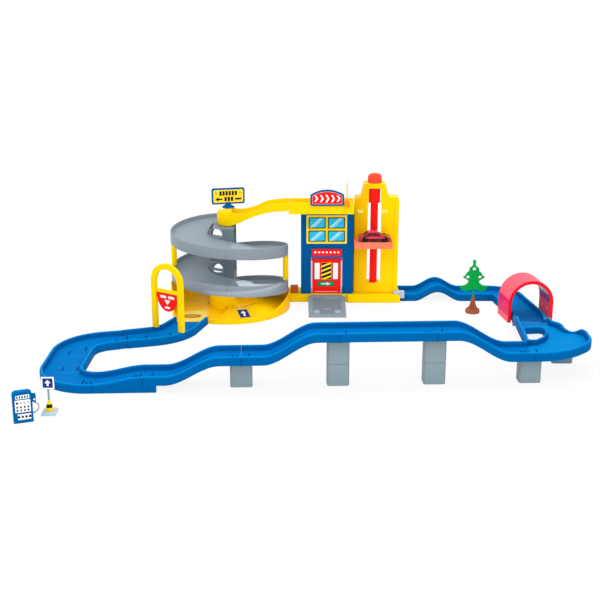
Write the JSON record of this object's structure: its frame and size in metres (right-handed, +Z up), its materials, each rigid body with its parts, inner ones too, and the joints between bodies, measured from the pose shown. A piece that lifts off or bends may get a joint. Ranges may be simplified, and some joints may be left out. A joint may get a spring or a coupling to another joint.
{
  "type": "toy parking garage",
  "caption": "Toy parking garage with a screw lift, a spiral car ramp, a roof chute, and plug-together roads with a gate, tunnel, tree and pump.",
  "frame": {"origin": "on the ground, on the axis of the lift's spindle, at the middle of the round boss under the base", "axes": "+X to the right along the front of the garage, +Y away from the viewer, +Z up"},
  "size_m": [1.1951, 0.9068, 0.3326],
  "materials": {
    "yellow_plastic": "smooth moulded plastic",
    "house_blue_plastic": "smooth moulded plastic",
    "road_blue_plastic": "smooth moulded plastic",
    "grey_plastic": "smooth moulded plastic",
    "red_plastic": "smooth moulded plastic",
    "orange_red_plastic": "smooth moulded plastic",
    "pink_red_plastic": "smooth moulded plastic",
    "dark_red_plastic": "smooth moulded plastic",
    "black_plastic": "smooth moulded plastic",
    "green_plastic": "smooth moulded plastic",
    "brown_plastic": "smooth moulded plastic",
    "block_grey_plastic": "smooth moulded plastic",
    "pale_blue_plastic": "smooth moulded plastic"
  },
  "bodies": {
    "garage": {"garage_base": "yellow_plastic", "lift_tower": "yellow_plastic", "window_panel": "yellow_plastic", "roof_deck": "yellow_plastic", "bridge_chute": "yellow_plastic", "spiral_base": "yellow_plastic", "column_foot": "yellow_plastic", "post_left": "yellow_plastic", "post_right": "yellow_plastic", "gate_arch": "yellow_plastic", "building_front": "house_blue_plastic", "building_back": "house_blue_plastic", "roof_sign": "house_blue_plastic", "road_gate": "road_blue_plastic", "road_left_curve": "road_blue_plastic", "road_riser": "road_blue_plastic", "road_climb_1": "road_blue_plastic", "road_climb_2": "road_blue_plastic", "road_flat": "road_blue_plastic", "road_descent": "road_blue_plastic", "road_turnout": "road_blue_plastic", "road_tunnel": "road_blue_plastic", "road_hump": "road_blue_plastic", "pump_body": "road_blue_plastic", "pump_nozzle": "road_blue_plastic", "parking_sign_plate": "road_blue_plastic", "ramp_1": "grey_plastic", "ramp_2": "grey_plastic", "ramp_3": "grey_plastic", "ramp_4": "grey_plastic", "column_lower": "grey_plastic", "column_upper": "grey_plastic", "exit_ramp": "grey_plastic", "awning": "red_plastic", "gate_sign": "red_plastic", "base_stop": "orange_red_plastic", "barrier_bracket": "orange_red_plastic", "tunnel": "pink_red_plastic", "parking_sign_post": "black_plastic", "tree_crown": "green_plastic", "tree_trunk": "brown_plastic", "pillar_1": "block_grey_plastic", "pillar_2_lower": "block_grey_plastic", "pillar_2_upper": "block_grey_plastic", "pillar_3_lower": "block_grey_plastic", "pillar_3_upper": "block_grey_plastic", "pillar_4": "block_grey_plastic", "pillar_5": "block_grey_plastic", "pump_hose": "block_grey_plastic", "road_connector": "pale_blue_plastic", "parking_sign_base": "pale_blue_plastic"},
    "platform": {"lift_platform": "orange_red_plastic"},
    "spindle": {"lift_spindle": "red_plastic", "lift_knob": "red_plastic"},
    "door": {"door_flap": "red_plastic"},
    "barrier": {"barrier_arm": "yellow_plastic"},
    "sign": {"exit_sign": "house_blue_plastic"},
    "car": {"car_body": "dark_red_plastic"},
    "rear_wheels": {"car_rear_wheels": "black_plastic"},
    "front_wheels": {"car_front_wheels": "black_plastic"}
  },
  "joints": [
    {"name": "lift_slide", "type": "slide", "parent": "garage", "child": "platform", "axis": [0, 0, 1], "range_m": [-0.104, 0.0855]},
    {"name": "spindle_turn", "type": "hinge", "parent": "garage", "child": "spindle", "pos_m": [0, 0, 0.15], "axis": [0, 0, 1], "range_deg": [-283, 344]},
    {"name": "door_hinge", "type": "hinge", "parent": "garage", "child": "door", "pos_m": [-0.121, -0.0227, 0.1143], "axis": [-1, 0, 0], "range_deg": [0, 75]},
    {"name": "barrier_hinge", "type": "hinge", "parent": "garage", "child": "barrier", "pos_m": [-0.073, -0.0808, 0.281], "axis": [-1, 0, 0], "range_deg": [0, 88]},
    {"name": "sign_swivel", "type": "hinge", "parent": "garage", "child": "sign", "pos_m": [-0.371, -0.017, 0.25], "axis": [0, 0, 1], "continuous": true},
    {"name": "car_lift_off", "type": "slide", "parent": "platform", "child": "car", "axis": [0, 0, 1], "range_m": [0, 0.05]},
    {"name": "rear_axle", "type": "hinge", "parent": "car", "child": "rear_wheels", "pos_m": [-0.0253, -0.052, 0.1784], "axis": [0, 1, 0], "continuous": true},
    {"name": "front_axle", "type": "hinge", "parent": "car", "child": "front_wheels", "pos_m": [0.0233, -0.052, 0.1784], "axis": [0, 1, 0], "continuous": true}
  ],
  "couplings": [
    {"joint": "spindle_turn", "follows": "lift_slide", "rad_per_m": -57.12}
  ]
}
